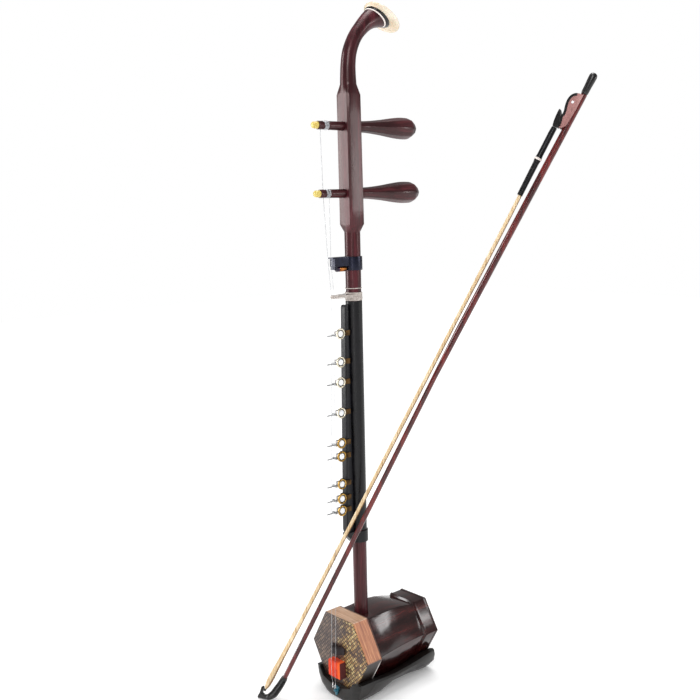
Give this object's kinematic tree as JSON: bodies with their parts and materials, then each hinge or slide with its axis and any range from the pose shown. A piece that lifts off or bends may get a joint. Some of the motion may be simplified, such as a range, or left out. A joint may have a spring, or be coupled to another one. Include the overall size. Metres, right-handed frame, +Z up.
{
  "type": "erhu",
  "caption": "Two-string upright fiddle with hexagonal skin-faced sound box, curved-head neck, tuning pegs, sliding position stops, standing base and a bow threaded between the strings.",
  "frame": {"origin": "middle of the base foot, on the surface it stands on", "axes": "+Z up along the neck; the skin faces -Y; the pegs run along Y"},
  "size_m": [0.2924, 0.2899, 0.8365],
  "materials": {
    "rosewood": "polished dark rosewood",
    "peg_wood": "satin rosewood",
    "box_wood": "glossy dark hardwood",
    "bone": "polished bone",
    "inlay_white": "pale inlay",
    "ebony": "polished ebony",
    "bone_yellow": "yellow bone",
    "string_steel": "bright wire",
    "cord": "twisted cord",
    "black_plastic": "smooth black",
    "clamp_plastic": "dark navy",
    "brass": "warm brass",
    "stop_bronze": "aged bronze",
    "disc_white": "pearl white with bright rim",
    "python_skin": "scaled snake skin",
    "trim_white": "pale edging strip",
    "red_felt": "red-orange felt",
    "base_black": "black stained wood",
    "screw_steel": "plain steel",
    "hook_blue": "blue lacquer",
    "bow_wood": "varnished red-brown wood",
    "bow_hair": "horsehair",
    "frog_wood": "pinkish brown wood",
    "horn_black": "black horn"
  },
  "bodies": {
    "instrument": {"neck": "rosewood", "head_inlay_ring": "inlay_white", "head_ebony_ring": "ebony", "head_bone_cap": "bone", "inner_string": "string_steel", "outer_string": "string_steel", "qianjin_winding": "cord", "qianjin_loop": "cord", "upper_clamp": "clamp_plastic", "guide_sleeve": "black_plastic", "lower_clamp": "black_plastic", "position_rail": "black_plastic", "upper_right_stave": "box_wood", "top_stave": "box_wood", "upper_left_stave": "box_wood", "lower_left_stave": "box_wood", "bottom_stave": "box_wood", "lower_right_stave": "box_wood", "python_skin": "python_skin", "skin_trim_band": "trim_white", "rear_sound_window": "box_wood", "bridge": "ebony", "damper_pad": "red_felt", "base": "base_black", "base_screw": "screw_steel", "string_tail_hook": "hook_blue"},
    "upper_peg_body": {"upper_peg": "peg_wood", "upper_peg_bone_tip": "bone_yellow", "inner_string_coil": "string_steel"},
    "lower_peg_body": {"lower_peg": "peg_wood", "lower_peg_bone_tip": "bone_yellow", "outer_string_coil": "string_steel"},
    "clamp_screw": {"clamp_thumb_screw": "brass"},
    "stop_1": {"position_stop_1": "stop_bronze", "stop_disc_1": "disc_white"},
    "stop_2": {"position_stop_2": "stop_bronze", "stop_disc_2": "disc_white"},
    "stop_3": {"position_stop_3": "stop_bronze", "stop_disc_3": "disc_white"},
    "stop_4": {"position_stop_4": "stop_bronze", "stop_disc_4": "disc_white"},
    "stop_5": {"position_stop_5": "stop_bronze", "stop_disc_5": "disc_white"},
    "stop_6": {"position_stop_6": "stop_bronze", "stop_disc_6": "disc_white"},
    "stop_7": {"position_stop_7": "stop_bronze", "stop_disc_7": "disc_white"},
    "stop_8": {"position_stop_8": "stop_bronze", "stop_disc_8": "disc_white"},
    "stop_9": {"position_stop_9": "stop_bronze", "stop_disc_9": "disc_white"},
    "bow": {"bow_stick": "bow_wood", "bow_hair": "bow_hair", "bow_tip_wrap": "horn_black", "bow_tip_hook": "horn_black"},
    "frog": {"bow_frog": "frog_wood", "frog_screw_eye": "brass", "frog_horn": "horn_black", "hair_sleeve": "black_plastic"},
    "bow_screw_body": {"bow_screw": "horn_black"}
  },
  "joints": [
    {"name": "upper_peg_turn", "type": "hinge", "parent": "instrument", "child": "upper_peg_body", "pos_m": [0, -0.022, 0.6937], "axis": [0, 1, 0], "continuous": true},
    {"name": "lower_peg_turn", "type": "hinge", "parent": "instrument", "child": "lower_peg_body", "pos_m": [0, -0.022, 0.617], "axis": [0, 1, 0], "continuous": true},
    {"name": "clamp_screw_turn", "type": "hinge", "parent": "instrument", "child": "clamp_screw", "pos_m": [0, -0.04, 0.5296], "axis": [0, 1, 0], "continuous": true},
    {"name": "stop_1_slide", "type": "slide", "parent": "instrument", "child": "stop_1", "axis": [0, 0, 1], "range_m": [-0.0101, 0.0193]},
    {"name": "stop_2_slide", "type": "slide", "parent": "instrument", "child": "stop_2", "axis": [0, 0, 1], "range_m": [-0.0054, 0.0101]},
    {"name": "stop_3_slide", "type": "slide", "parent": "instrument", "child": "stop_3", "axis": [0, 0, 1], "range_m": [-0.0115, 0.0054]},
    {"name": "stop_4_slide", "type": "slide", "parent": "instrument", "child": "stop_4", "axis": [0, 0, 1], "range_m": [-0.0116, 0.0115]},
    {"name": "stop_5_slide", "type": "slide", "parent": "instrument", "child": "stop_5", "axis": [0, 0, 1], "range_m": [-0.0013, 0.0116]},
    {"name": "stop_6_slide", "type": "slide", "parent": "instrument", "child": "stop_6", "axis": [0, 0, 1], "range_m": [-0.0102, 0.0013]},
    {"name": "stop_7_slide", "type": "slide", "parent": "instrument", "child": "stop_7", "axis": [0, 0, 1], "range_m": [-0.0023, 0.0102]},
    {"name": "stop_8_slide", "type": "slide", "parent": "instrument", "child": "stop_8", "axis": [0, 0, 1], "range_m": [-0.0006, 0.0023]},
    {"name": "stop_9_slide", "type": "slide", "parent": "instrument", "child": "stop_9", "axis": [0, 0, 1], "range_m": [-0.0168, 0.0006]},
    {"name": "bow_stroke", "type": "slide", "parent": "instrument", "child": "bow", "axis": [0.3246, 0.3338, 0.885], "range_m": [0, 0.12]},
    {"name": "bow_screw_turn", "type": "hinge", "parent": "bow", "child": "bow_screw_body", "pos_m": [0.20444, 0.13493, 0.70357], "axis": [-0.3246, -0.3338, -0.885], "range_deg": [-1801, 1351]},
    {"name": "frog_slide", "type": "slide", "parent": "bow", "child": "frog", "axis": [0.3246, 0.3338, 0.885], "range_m": [-0.004, 0.003]}
  ],
  "couplings": [
    {"joint": "bow_screw_turn", "follows": "frog_slide", "rad_per_m": 7854}
  ]
}
